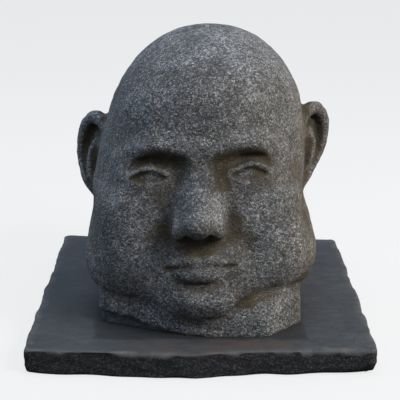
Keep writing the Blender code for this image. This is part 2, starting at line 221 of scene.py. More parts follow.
def ridge(p, points, radii, count=9):
    """A rod bent along a smooth curve, with its radius running through the given ones."""
    path = smooth_path(points, count)
    radius = np.interp(np.linspace(0, 1, count), np.linspace(0, 1, len(radii)), radii)
    rods = [rod(p, path[i], path[i + 1], radius[i], radius[i + 1]) for i in range(count - 1)]
    return np.minimum.reduce(rods)


def join(a, b, blend):
    """Both forms, with a fillet as wide as the blend."""
    h = np.maximum(blend - np.abs(a - b), 0) / blend
    return np.minimum(a, b) - h * h * blend / 4


def carve(a, b, blend):
    """The first form with the second taken away."""
    return -join(-a, b, blend)


def close_to(d, p, centre, reach, feature):
    """Works a feature into the field, only at the points within reach of its centre."""
    q = p - row(centre)
    at = np.flatnonzero(np.einsum("ij,ij->i", q, q) < reach * reach)
    if len(at):
        d[at] = feature(d[at], p[at])
    return d


# The head, in its own units, with x taken as the distance from the middle plane

def skull(p):
    d = lump(p, (0, 0.05, 0.640), (0.328, 0.39, 0.374))
    d = join(d, lump(p, (0, -0.13, 0.675), (0.264, 0.262, 0.245)), 0.10)
    d = join(d, lump(p, (0.03, -0.02, 0.50), (0.300, 0.31, 0.24)), 0.10)
    d = join(d, lump(p, (0, -0.085, 0.38), (0.325, 0.275, 0.26)), 0.10)
    d = join(d, lump(p, (0.10, -0.095, 0.220), (0.262, 0.235, 0.18)), 0.08)
    d = join(d, lump(p, (0.17, 0, 0.26), (0.192, 0.20, 0.18)), 0.08)
    d = join(d, lump(p, (0.125, -0.160, 0.175), (0.232, 0.200, 0.145)), 0.08)
    return join(d, lump(p, (0, -0.260, 0.10), (0.16, 0.13, 0.10)), 0.08)


def cheeks(d, p):
    d = join(d, lump(p, (0.175, -0.235, 0.305), (0.130, 0.115, 0.125)), 0.08)
    d = join(d, lump(p, (0.205, -0.215, 0.405), (0.10, 0.10, 0.06)), 0.08)
    return join(d, lump(p, (0, -0.282, 0.225), (0.150, 0.128, 0.12)), 0.06)


def chin(d, p):
    d = join(d, lump(p, (0, -0.350, 0.080), (0.090, 0.070, 0.066)), 0.06)
    return carve(d, lump(p, (0, -0.455, 0.140), (0.07, 0.04, 0.018)), 0.04)


def brows(d, p):
    arch = [(0.035, -0.360, 0.578), (0.09, -0.364, 0.597), (0.16, -0.340, 0.600),
            (0.225, -0.275, 0.574), (0.25, -0.225, 0.54)]
    d = join(d, ridge(p, arch, [0.012, 0.015, 0.014, 0.009, 0.004]), 0.06)
    return join(d, lump(p, (0, -0.350, 0.580), (0.05, 0.035, 0.040)), 0.05)


def lid_path(rise, over, lift=0.0, reach=(-1.0, 1.0)):
    """Points over the eyeball from the inner corner to the outer one, in the eye's own frame."""
    t = np.linspace(*reach, 11)
    x = EYE_HALF * t
    z = lift + rise * (1 - t * t)
    wide, deep, high = EYEBALL
    y = -deep * np.sqrt(np.maximum(1 - (x / wide) ** 2 - (z / high) ** 2, 0.05)) - over
    return np.stack([x, y, z], 1)


def eyes(d, p):
    d = carve(d, lump(p, (0.135, -0.436, 0.515), (0.090, 0.105, 0.062)), 0.05)
    d = carve(d, lump(p, (0.066, -0.408, 0.500), (0.020, 0.045, 0.035)), 0.05)
    q = p - row(EYE_AT)
    c, s = REAL(np.cos(EYE_TURN)), REAL(np.sin(EYE_TURN))
    e = np.stack([c * q[:, 0] + s * q[:, 1], c * q[:, 1] - s * q[:, 0], q[:, 2]], 1)
    arch = 1 - (e[:, 0] / REAL(EYE_HALF)) ** 2
    opening = np.maximum(e[:, 2] - REAL(LID_RISE) * arch, -e[:, 2] - REAL(LID_FALL) * arch)
    lids = lump(e, (0, 0, 0.002), np.add(EYEBALL, LID_OVER))
    lids = carve(lids, np.maximum(opening, e[:, 1]), 0.006)
    d = join(d, lids, 0.035)
    d = join(d, lump(e, (0, 0, 0), EYEBALL), 0.005)
    upper = lid_path(LID_RISE, 0.005, reach=(-1, 1.06))
    lower = lid_path(-LID_FALL, 0.002)
    fold = lid_path(LID_RISE, 0.025, 0.028, (-0.7, 0.9))
    d = join(d, ridge(e, upper, [0.007, 0.0105, 0.0115, 0.011, 0.008], 11), 0.008)
    d = join(d, ridge(e, lower, [0.007, 0.008, 0.0085, 0.008, 0.007], 11), 0.008)
    return carve(d, ridge(e, fold, [0.003, 0.008, 0.009, 0.008, 0.003], 11), 0.020)


def nose(d, p):
    n = rod(p, (0, -0.350, 0.545), (0, -0.438, 0.368), 0.030, 0.034)
    n = join(n, rod(p, (0.014, -0.325, 0.50), (0.036, -0.382, 0.352), 0.036, 0.045), 0.06)
    n = join(n, lump(p, (0, -0.458, 0.345), (0.040, 0.040, 0.037)), 0.035)
    n = join(n, lump(p, (0.054, -0.408, 0.330), (0.030, 0.043, 0.033)), 0.022)
    n = join(n, rod(p, (0, -0.450, 0.320), (0, -0.40, 0.302), 0.014, 0.016), 0.02)
    nostril = rod(p, (0.031, -0.443, 0.300), (0.035, -0.41, 0.322), 0.011, 0.009)
    return carve(join(d, n, 0.035), nostril, 0.012)


def mouth(d, p):
    upper = [(0.104, -0.360, 0.202), (0.066, -0.390, 0.213), (0.028, -0.411, 0.226), (0, -0.412, 0.222)]
    lower = [(0.096, -0.360, 0.196), (0.060, -0.386, 0.185), (0.026, -0.400, 0.178), (0, -0.401, 0.178)]
    line = [(0.106, -0.384, 0.1985), (0.076, -0.404, 0.199), (0.03, -0.436, 0.2005), (0, -0.438, 0.198)]
    fold = [(0.098, -0.400, 0.340), (0.126, -0.400, 0.295), (0.146, -0.386, 0.245)]
    d = join(d, ridge(p, upper, [0.006, 0.016, 0.020, 0.019]), 0.022)
    d = join(d, ridge(p, lower, [0.006, 0.018, 0.025, 0.026]), 0.022)
    d = carve(d, ridge(p, line, [0.003, 0.0060, 0.0066, 0.0066]), 0.010)
    d = carve(d, rod(p, (0, -0.440, 0.288), (0, -0.448, 0.250), 0.008, 0.014), 0.025)
    return carve(d, ridge(p, fold, [0.002, 0.007, 0.002], 6), 0.05)


def ear_frame(p):
    """Places in the ear's own frame, where x runs back along it, y up and z out of the head."""
    q = (p - row(EAR_AT)) / REAL(EAR_SIZE)
    c, s = REAL(np.cos(EAR_FLARE)), REAL(np.sin(EAR_FLARE))
    back, out, up = q[:, 1] * c + q[:, 0] * s, q[:, 0] * c - q[:, 1] * s, q[:, 2]
    c, s = REAL(np.cos(EAR_LEAN)), REAL(np.sin(EAR_LEAN))
    return np.stack([back * c - up * s, back * s + up * c, out], 1)


def ear(d, p):
    e = ear_frame(p)
    rim = [(-0.035, 0.055, 0.016), (-0.030, 0.125, 0.026), (0.025, 0.158, 0.030), (0.085, 0.12, 0.030),
           (0.100, 0.04, 0.028), (0.070, -0.05, 0.022), (0.02, -0.115, 0.014)]
    inner_rim = [(0.02, 0.085, 0.018), (0.052, 0.045, 0.026), (0.050, -0.02, 0.026), (0.015, -0.07, 0.02)]
    shell = lump(e, (0.02, 0.02, -0.002), (0.088, 0.138, 0.034))
    shell = join(shell, lump(e, (-0.006, -0.105, 0.002), (0.046, 0.05, 0.028)), 0.03)
    shell = join(shell, ridge(e, rim, [0.014, 0.021, 0.022, 0.021, 0.020, 0.018, 0.015], 15), 0.014)
    shell = join(shell, ridge(e, inner_rim, [0.010, 0.014, 0.014, 0.010], 8), 0.014)
    shell = carve(shell, lump(e, (-0.005, 0.005, 0.036), (0.036, 0.056, 0.032)), 0.014)
    shell = join(shell, lump(e, (-0.045, -0.012, 0.020), (0.016, 0.026, 0.018)), 0.014)
    root = rod(e, (-0.015, 0.065, -0.032), (-0.015, -0.075, -0.032), 0.050, 0.044)
    return join(d, join(shell, root, 0.03) * REAL(EAR_SIZE), 0.022)


# Each feature with the centre and the reach of the points that it touches
FEATURES = (
    (cheeks, (0.15, -0.23, 0.32), 0.32),
    (chin, (0, -0.38, 0.10), 0.20),
    (brows, (0.13, -0.34, 0.58), 0.22),
    (eyes, (0.137, -0.35, 0.51), 0.17),
    (nose, (0.03, -0.41, 0.40), 0.22),
    (mouth, (0.06, -0.40, 0.24), 0.19),
    (ear, (0.344, 0.065, 0.518), 0.28),
)


def head_frame(p):
    """Places in the head's own units: undoes its lean, roll, sway and scale, and mirrors one half on the other."""
    q = p - row(HEAD_AT)
    c, s = REAL(np.cos(HEAD_ROLL)), REAL(np.sin(HEAD_ROLL))
    x, z = c * q[:, 0] + s * q[:, 2], c * q[:, 2] - s * q[:, 0]
    c, s = REAL(np.cos(HEAD_LEAN_BACK)), REAL(np.sin(HEAD_LEAN_BACK))
    y, z = c * q[:, 1] - s * z, s * q[:, 1] + c * z
    q = np.stack([x / REAL(HEAD_BREADTH), y, z], 1) / REAL(HEAD_HEIGHT)
    rise = np.clip((q[:, 2] - REAL(SWAY_FROM)) / REAL(1 - SWAY_FROM), 0, None)
    q[:, 0] = np.abs(q[:, 0] - REAL(CROWN_SWAY) * rise * (2 - rise))
    return q


def head(p):
    q = head_frame(p)
    d = skull(q)
    for feature, centre, reach in FEATURES:
        d = close_to(d, q, centre, reach, feature)
    return d * REAL(HEAD_HEIGHT)


def block(p):
    """The uncarved lower block: hewn sides and sloping shoulders, softened at the arrises."""
    q = p - row(BLOCK_AT)
    d = q[:, 2] - REAL(BLOCK_TOP)
    for azimuth, lean, distance in BLOCK_SIDES + BLOCK_SHOULDERS:
        a, e = np.radians(azimuth), np.radians(lean)
        outward = row((np.sin(a) * np.cos(e), -np.cos(a) * np.cos(e), np.sin(e)))
        d = -join(-d, REAL(distance) - q @ outward, BLOCK_ARRIS)
    return d


def neck(p):
    d = lump(p, (0, -0.012, 0.10), (0.122, 0.115, 0.10))
    return join(d, rod(p, (0, 0.018, 0.06), (0, 0.048, 0.22), 0.100, 0.095), 0.04)


def sculpture(p):
    d = join(join(head(p), neck(p), 0.02), block(p), 0.008)
    return np.maximum(d, REAL(SLAB_THICKNESS - BLOCK_BELOW) - p[:, 2])


# Meshing: one vertex in each cell that the surface crosses

def sampled(field, low, cell, counts):
    """The field on a grid, worked out one level at a time."""
    axes = [low[i] + cell * np.arange(counts[i]) for i in range(3)]
    x, y = np.meshgrid(axes[0], axes[1], indexing="ij")
    level = row(np.stack([x.ravel(), y.ravel(), np.zeros(x.size)], 1))
    values = np.empty(counts, REAL)
    for k, z in enumerate(axes[2]):
        level[:, 2] = z
        values[:, :, k] = field(level).reshape(x.shape)
    return values


def crossing_vertices(values, active):
    """For each active cell, the mean of the places where its edges cross the surface, in cells."""
    total, count = np.zeros((len(active), 3)), np.zeros(len(active))
    for corner in CELL_CORNERS:
        for axis in (i for i in range(3) if not corner[i]):
            step = np.eye(3, dtype=int)[axis]
            near = values[tuple((active + corner).T)]
            far = values[tuple((active + corner + step).T)]
            crossed = (near < 0) != (far < 0)
            t = np.where(crossed, near / np.where(crossed, near - far, 1), 0)
            total += (np.asarray(corner) + t[:, None] * step) * crossed[:, None]
            count += crossed
    return active + total / count[:, None]


def crossing_quads(inside, index):
    """A quad across each grid edge that the surface crosses, wound to face outwards."""
    quads = []
    for axis in range(3):
        u, w = (axis + 1) % 3, (axis + 2) % 3
        near = [slice(1, -1)] * 3
        far = [slice(1, -1)] * 3
        near[axis], far[axis] = slice(0, -1), slice(1, None)
        a, b = inside[tuple(near)], inside[tuple(far)]
        at = np.argwhere(a != b)
        leaving = a[tuple(at.T)]
        at[:, [u, w]] += 1
        ring = []
        for du, dw in ((-1, -1), (0, -1), (0, 0), (-1, 0)):
            cell = at.copy()
            cell[:, u] += du
            cell[:, w] += dw
            ring.append(index[tuple(cell.T)])
        quad = np.stack(ring, 1)
        quad[~leaving] = quad[~leaving][:, ::-1]
        quads.append(quad)
    return np.concatenate(quads)


def surface_net(field, low, high, cell):
    low = np.asarray(low, float)
    counts = np.ceil((np.asarray(high) - low) / cell).astype(int) + 1
    values = sampled(field, low, cell, counts)
    inside = values < 0
    corners_in = np.zeros(counts - 1, int)
    for a, b, c in CELL_CORNERS:
        corners_in += inside[a:counts[0] - 1 + a, b:counts[1] - 1 + b, c:counts[2] - 1 + c]
    active = np.argwhere((corners_in > 0) & (corners_in < len(CELL_CORNERS)))
    index = np.full(counts - 1, -1)
    index[tuple(active.T)] = np.arange(len(active))
    return low + cell * crossing_vertices(values, active), crossing_quads(inside, index)


def divided(points, quads):
    """Each quad split into four."""
    count = len(points)
    edges = np.sort(np.concatenate([quads[:, [i, (i + 1) % 4]] for i in range(4)]), 1)
    pairs, used = np.unique(edges[:, 0] * count + edges[:, 1], return_inverse=True)
    middles = (points[pairs // count] + points[pairs % count]) / 2
    centres = points[quads].mean(1)
    on_edge = used.reshape(4, len(quads)) + count
    in_middle = np.arange(len(quads)) + count + len(pairs)
    parts = [np.stack([quads[:, i], on_edge[i], in_middle, on_edge[(i + 3) % 4]], 1) for i in range(4)]
    return np.concatenate([points, middles, centres]), np.concatenate(parts)


def smoother(quads, count):
    """A function that moves every point halfway to the mean of its neighbours."""
    edges = np.concatenate([quads[:, [i, (i + 1) % 4]] for i in range(4)])
    edges = np.concatenate([edges, edges[:, ::-1]])
    links = np.bincount(edges[:, 0], minlength=count)[:, None]

    def smoothed(p):
        sums = [np.bincount(edges[:, 0], p[edges[:, 1], i], count) for i in range(3)]
        return row((p + np.stack(sums, 1) / links) / 2)
    return smoothed


def measured(field, p, step):
    """The field's value and its slope."""
    probes = [field(p + REAL(step) * probe) for probe in PROBES]
    slope = sum(v[:, None] * probe for v, probe in zip(probes, PROBES)) / (4 * step)
    return sum(probes) / 4, slope


def settled(field, points, quads, cell, rounds):
    """Evens the vertices out and then puts each one back on the surface."""
    smoothed = smoother(quads, len(points))
    p = row(points)
    for _ in range(rounds):
        p = smoothed(p)
        for _ in range(2):
            value, slope = measured(field, p, cell / 8)
            move = value[:, None] * slope / np.maximum((slope**2).sum(1), 0.05)[:, None]
            far = np.linalg.norm(move, axis=1)
            p = row(p - move * np.minimum(1, cell / 2 / np.maximum(far, 1e-9))[:, None])
    return p


# The carved stone

def broken_line(p):
    """Height above the slab of the broken band's upper lip: high at the left, running out towards the right."""
    low, high = BROKEN_BAND_ENDS
    share = np.clip((high - p[:, 0]) / (high - low), 0, 1)
    return BROKEN_BAND * share**0.8 + 0.0022 * noise(p * row((1, 1, 0)), 0.017, 3)


def broken(p, normal):
    """1 on the broken band at the foot of the block's front left."""
    above = p[:, 2] - SLAB_THICKNESS
    forward = fade(-p[:, 1], 0.03, 0.09) * fade(-p[:, 0], -0.02, 0.01)
    return fade(broken_line(p) - above, 0, 0.0025) * forward * (normal[:, 2] < 0.5)


def relief(p, normal):
    """How far the weathered surface stands out from the carved form."""
    q = head_frame(p)
    calm = 1 - 0.65 * fade(0.20 - np.linalg.norm((q - row((0.10, -0.38, 0.40))) * row((1, 0.8, 0.8)), axis=1), 0, 0.08)
    height = 0
    for pattern, (size, tall) in enumerate(WEATHERING):
        height = height + tall * noise(p, size, pattern)
    height = height * calm
    for pattern, (size, chance, deep) in enumerate(PITS):
        height = height - deep * calm * marks(p, size, chance, 20 + 5 * pattern)
    for centre, radius, deep in NAMED_PITS:
        height = height - deep * np.exp(-(np.linalg.norm(p - row(centre), axis=1) / radius) ** 4)
    hewn = fade(SLAB_THICKNESS + BLOCK_TOP - p[:, 2], 0, 0.05)
    height = height + hewn * 0.0006 * noise(p * row((0.4, 0.4, 1)), 0.006, 6)
    rough = 1 + 0.5 * noise(p, 0.008, 7)
    return height - BROKEN_DEPTH * rough * broken(p, normal)


def stone_marks(p, normal):
    """Where the stone is soiled and darkened by painted shade, worn, ochre-stained and tinted by painted warm light,
    or broken, each from 0 to 1.
    """
    # How closely the stone surrounds each point at three reaches: this drives soil and painted shade in the hollows
    hollows = []
    for reach in (0.008, 0.022, 0.045):
        hollows.append(np.clip(1 - sculpture(p + REAL(reach) * normal) / reach, 0, 1))
    near, middle, wide = hollows
    edges = np.clip(1 + sculpture(p - REAL(0.009) * normal) / 0.009, 0, 1)
    # Downward-facing share: painted shade, and painted warm bounce light, on the undersides
    under = np.clip(-normal[:, 2], 0, 1)
    patchy = 1 + 0.6 * noise(p, 0.030, 8)
    # Soil with painted shade: darker in hollows and on undersides
    soil_and_shade = (1.1 * near + 0.8 * middle + 0.7 * wide + 0.45 * under**2) * patchy
    in_ear = np.linalg.norm(ear_frame(head_frame(p)) * row((9, 6, 7)), axis=1)
    soil_and_shade = soil_and_shade + 0.8 * fade(1.3 - in_ear, 0, 0.6) * fade(middle, 0.1, 0.4)
    # Painted contact shadow where the block stands on the slab
    foot_contact_shade = fade(0.007 - (p[:, 2] - SLAB_THICKNESS), 0, 0.006)
    # Ochre stain, with painted warm light on the right side and on the undersides
    right_side = fade(p[:, 0] + 0.02 * noise(p, 0.05, 9), 0.125, 0.175)
    ochre_and_warm_light = np.clip(right_side * (0.5 + 0.5 * noise(p, 0.022, 10)) + 0.3 * under + 0.5 * middle, 0, 1)
    return {
        "soil_and_shade": np.clip(soil_and_shade + 0.5 * foot_contact_shade, 0, 1),
        "wear": np.clip(2.2 * edges * (1 - soil_and_shade) * (0.7 + 0.6 * noise(p, 0.014, 11)), 0, 1),
        "ochre_and_warm_light": ochre_and_warm_light,
        "broken": broken(p, normal),
    }


def mesh_piece(name, points, faces, attributes, material):
    """An object with a float attribute for each kind of mark."""
    mesh = bpy.data.meshes.new(name)
    mesh.from_pydata(points.tolist(), [], faces)
    for key, values in attributes.items():
        mesh.attributes.new(key, "FLOAT", "POINT").data.foreach_set("value", row(values))
    mesh.shade_smooth()
    mesh.materials.append(material)
    piece = bpy.data.objects.new(name, mesh)
    bpy.context.collection.objects.link(piece)
    return piece


def cut_flat_below(mesh, height):
    """Takes away all that is below a height and closes the mesh with a flat face."""
    bm = bmesh.new()
    bm.from_mesh(mesh)
    everything = bm.verts[:] + bm.edges[:] + bm.faces[:]
    found = bmesh.ops.bisect_plane(
        bm, geom=everything, dist=1e-5, plane_co=(0, 0, height), plane_no=(0, 0, 1), clear_inner=True)
    rim = [item for item in found["geom_cut"] if isinstance(item, bmesh.types.BMEdge)]
    for edge in rim:
        edge.smooth = False
        for vertex in edge.verts:
            vertex.co.z = height
    bmesh.ops.contextual_create(bm, geom=rim)
    bmesh.ops.recalc_face_normals(bm, faces=bm.faces)
    bm.to_mesh(mesh)
    bm.free()


def build_carved_stone(material):
    points, quads = surface_net(sculpture, NET_LOW, NET_HIGH, NET_CELL)
    points = settled(sculpture, points, quads, NET_CELL, 3)
    points, quads = divided(points, quads)
    points = settled(sculpture, points, quads, NET_CELL / 2, 2)
    slope = measured(sculpture, points, NET_CELL / 6)[1]
    normal = slope / np.maximum(np.linalg.norm(slope, axis=1), 1e-6)[:, None]
    normal = smoother(quads, len(points))(row(normal))
    stone = stone_marks(points, normal)
    points = points + normal * relief(points, normal)[:, None]
    piece = mesh_piece("carved_stone_head", points, quads.tolist(), stone, material)
    cut_flat_below(piece.data, SLAB_THICKNESS + REST_GAP)
    return piece


# The slab

def slab_ring(side_points, corner_points):
    """Plan points of the slab's edge, with the outward direction and the corners' wear at each."""
    corners = np.array(SLAB_CORNERS)
    points, normals, wear = [], [], []
    for i, corner in enumerate(corners):
        after = corners[(i + 1) % 4]
        back, on = corners[i - 1] - corner, after - corner
        back, on = back / np.linalg.norm(back), on / np.linalg.norm(on)
        centre = corner + CORNER_ROUND * (back + on)
        for t in np.linspace(0, np.pi / 2, corner_points):
            out = -np.cos(t) * on - np.sin(t) * back
            points.append(centre + CORNER_ROUND * out)
            normals.append(out)
        wear += [CORNER_WEAR[i]] * corner_points
        outward = np.array((on[1], -on[0]))
        start, end = corner + CORNER_ROUND * on, after - CORNER_ROUND * on
        for t in np.linspace(0, 1, side_points + 2)[1:-1]:
            points.append(start + t * (end - start))
            normals.append(outward)
            wear.append(CORNER_WEAR[i] * np.exp(-t * CORNER_FADE)
                        + CORNER_WEAR[(i + 1) % 4] * np.exp((t - 1) * CORNER_FADE))
    return np.array(points), np.array(normals), np.array(wear)


def hand_waves(turn, rng, waves, strength):
    """A closed, wandering line around the slab: a few sine waves with their phases drawn at random."""
    return strength * sum(np.sin(wave * turn + rng.uniform(0, 2 * np.pi)) for wave in waves)


def slab_edge():
    """The slab's plan outline and, at each of its points, the outward direction, chipping and wear."""
    rng = np.random.default_rng(HAND_SEED)
    side = int(0.5 / SLAB_PITCH)
    plan, normal, corner_wear = slab_ring(side, 9)
    turn = np.arctan2(plan[:, 1], plan[:, 0])
    along_front = np.exp(-((plan[:, 0] - FRONT_BULGE_AT) / FRONT_BULGE_HALF) ** 2)
    bulge = FRONT_BULGE * along_front * np.clip(-normal[:, 1], 0, 1)
    wander = hand_waves(turn, rng, (3, 7, 13, 22), EDGE_WANDER / 2)
    edge = plan + normal * (bulge + wander)[:, None]
    edge -= (edge.max(0) + edge.min(0)) / 2
    chip = TOP_CHIP * np.clip(1 + hand_waves(turn, rng, (7, 12, 19, 31), 0.35), 0.3, 2)
    wear = BOTTOM_WEAR * np.clip(1 + hand_waves(turn, rng, (4, 8, 15, 27), 0.3), 0.4, 2)
    return edge, normal, chip, wear + corner_wear


def spalls(edge):
    """How much deeper the arris is broken where a flake has come off the front."""
    front = edge[:, 1] < -0.23
    return sum(front * deep * fade(1 - np.abs(edge[:, 0] - x) / half, 0, 0.5) for x, half, deep in SPALLS)


def slab_levels():
    """Rings of points from the underside's edge, up the broken side and in over the riven top."""
    edge, normal, chip, wear = slab_edge()
    flat = row(np.column_stack([edge, np.zeros(len(edge))]))
    chip = np.clip(chip * (1 + 0.5 * noise(flat, 0.013, 12)), 0.0010, None) + spalls(edge)
    top = SLAB_THICKNESS - chip
    profile = [(wear, 0 * wear), (wear * 0.3, wear * 0.3), (0 * wear, wear)]
    for share in np.linspace(0, 1, int(SLAB_THICKNESS / SLAB_PITCH))[1:]:
        profile.append((0 * wear, wear + share * (top - wear)))
    profile += [(chip * 0.35, SLAB_THICKNESS - chip * 0.4), (chip, SLAB_THICKNESS + 0 * chip)]
    return edge, normal, profile


def broken_side(p, inward):
    """How far the split side is set back: soft ledges along the bedding and small flakes."""
    q = p * row((1, 1, 2.5))
    ledges = 0.5 + 0.5 * noise(p * row((0.5, 0.5, 1.6)), 0.014, 13)
    flakes = 0.5 + 0.5 * noise(q, 0.012, 14)
    grit = 0.5 + 0.5 * noise(q, 0.006, 15)
    return SIDE_ROUGH * inward * (0.45 * ledges + 0.35 * flakes + 0.20 * grit)


def riven(p):
    """How far the split top lies below its highest places: long ripples and thin broken layers."""
    q = p * row((0.45, 1, 1))
    layers = noise(q, 0.055, 16) + 0.35 * noise(q, 0.016, 17)
    steps = fade(np.mod(layers * 2.2, 1), 0.0, 0.16) - np.mod(layers * 2.2, 1)
    ripples = 0.5 + 0.5 * noise(q, 0.009, 18)
    return RIVEN_DEPTH * np.clip(0.45 * (0.5 + steps) + 0.35 * ripples, 0, 1)


def slab_marks(p, side, arris):
    """Where the slab is broken, worn, tinted brown as painted warm light, pale, or darkened by a painted contact
    shadow round the block, each from 0 to 1.
    """
    x, y = p[:, 0], p[:, 1]
    ragged = 0.012 * noise(p, 0.030, 19)
    # Brownish tint along the front of the top: painted warm light
    strip = fade(-y + ragged, 0.185, 0.225) * fade(x + ragged, -0.16, -0.02) * fade(0.16 - x + ragged, 0, 0.05)
    corner = fade(-x + y + 3 * ragged, 0.44, 0.49)
    # Painted contact shadow on the slab round the block's foot
    beside = np.maximum(np.abs(x) - 0.150, np.abs(y + 0.032) - 0.168)
    soil_and_shade = fade(0.012 - beside + 0.4 * ragged, 0, 0.010)
    return {
        "side": side,
        "arris": arris * (0.6 + 0.6 * noise(p, 0.012, 21)),
        "painted_warm_tint": np.clip(strip * (0.75 + 0.5 * noise(p, 0.02, 22)), 0, 1),
        "pale": np.clip(corner, 0, 1),
        "soil_and_shade": np.clip(soil_and_shade, 0, 1),
    }


def build_split_slab(material):
    edge, normal, profile = slab_levels()
    count = len(edge)
    outward = row(np.column_stack([normal, np.zeros(count)]))
    rings, side, arris = [], [], []
    side_levels = len(profile) - 2
    for level, (inset, height) in enumerate(profile):
        ring = row(np.column_stack([edge - normal * inset[:, None], height]))
        on_side = float(2 <= level < side_levels)
        ring = ring - outward * broken_side(ring, on_side)[:, None]
        rings.append(ring)
        side.append(np.full(count, float(level < side_levels)))
        arris.append(np.full(count, float(level >= side_levels - 1)))
    reach = np.abs(edge).max()
    scales = np.arange(1, TOP_RINGS_TO, -TOP_RING_STEP / reach)[1:]
    for number, scale in enumerate(scales):
        rings.append(rings[len(profile) - 1] * row((scale, scale, 1)))
        side.append(np.zeros(count))
        arris.append(np.full(count, max(0.0, 0.7 - 0.35 * number)))
    first_top = len(profile)
    for ring in rings[first_top:]:
        ring[:, 2] -= riven(ring)
    points, around = np.concatenate(rings), np.arange(count)
    faces = [around[::-1].tolist()]
    for level in range(len(rings) - 1):
        low, high = level * count + around, (level + 1) * count + around
        faces += np.stack([low, np.roll(low, -1), np.roll(high, -1), high], 1).tolist()
    faces.append(((len(rings) - 1) * count + around).tolist())
    stone = slab_marks(points, np.concatenate(side), np.concatenate(arris))
    return mesh_piece("split_stone_slab", points, faces, stone, material)


# Materials

def add(tree, kind, inputs=(), **settings):
    """A new node, with its settings and its inputs set or linked."""
    made = tree.nodes.new(kind)
    for key, value in settings.items():
        setattr(made, key, value)
    for key, value in dict(inputs).items():
        if isinstance(value, bpy.types.NodeSocket):
            tree.links.new(value, made.inputs[key])
        else:
            made.inputs[key].default_value = value
    return made


def new_material(name):
    material = bpy.data.materials.new(name)
    material.use_nodes = True
    tree = material.node_tree
    place = add(tree, "ShaderNodeTexCoord").outputs["Object"]
    return material, tree, tree.nodes["Principled BSDF"], place


def waves(tree, place, scale, detail=4.0, roughness=0.55):
    """Noise from 0 to 1."""
    inputs = {"Vector": place, "Scale": scale, "Detail": detail, "Roughness": roughness}
    return add(tree, "ShaderNodeTexNoise", inputs).outputs["Fac"]


def grains(tree, place, scale):
    """Rounded grains: a random value for each, and the distance from its middle."""
    made = add(tree, "ShaderNodeTexVoronoi", {"Vector": place, "Scale": scale})
    value = add(tree, "ShaderNodeSeparateColor", {"Color": made.outputs["Color"]}).outputs["Red"]
    return value, made.outputs["Distance"]


def stretched(tree, place, scales):
    inputs = {0: place, 1: scales}
    return add(tree, "ShaderNodeVectorMath", inputs, operation="MULTIPLY").outputs[0]


def shaken(tree, place, scale, far):
    """Places moved about a little, so that grains lose their even outlines."""
    shake = add(tree, "ShaderNodeTexNoise", {"Vector": place, "Scale": scale, "Detail": 2.0}).outputs["Color"]
    return add(tree, "ShaderNodeVectorMath", {0: shake, 1: (far, far, far), 2: place},
               operation="MULTIPLY_ADD").outputs[0]


def tones(tree, value, stops):
    """A colour for each value, running through the given stops."""
    made = add(tree, "ShaderNodeValToRGB", {"Fac": value})
    elements = made.color_ramp.elements
    while len(elements) < len(stops):
        elements.new(1.0)
    for element, (position, colour) in zip(elements, stops):
        element.position = position
        element.color = (*colour, 1)
    return made.outputs["Color"]


def greys(low, high):
    """Stops of a ramp between two grey factors."""
    return (0.25, (low, low, low)), (0.75, (high, high, high))


def mixed(tree, share, first, second, blend="MIX"):
    inputs = {0: share}
    for key, value in ((6, first), (7, second)):
        inputs[key] = value if isinstance(value, bpy.types.NodeSocket) else (*value, 1)
    return add(tree, "ShaderNodeMix", inputs, data_type="RGBA", blend_type=blend).outputs[2]


def combined(tree, operation, first, second):
    return add(tree, "ShaderNodeMath", {0: first, 1: second}, operation=operation).outputs[0]


def ranged(tree, value, low, high, to_low=0.0, to_high=1.0):
    inputs = {"Value": value, "From Min": low, "From Max": high, "To Min": to_low, "To Max": to_high}
    return add(tree, "ShaderNodeMapRange", inputs).outputs["Result"]


def marked(tree, name):
    return add(tree, "ShaderNodeAttribute", attribute_name=name).outputs["Fac"]


def raised(tree, shader, height, tall):
    """Low relief on the surface, as tall as given."""
    bump = add(tree, "ShaderNodeBump", {"Height": height, "Distance": tall, "Strength": 1.0})
    tree.links.new(bump.outputs["Normal"], shader.inputs["Normal"])


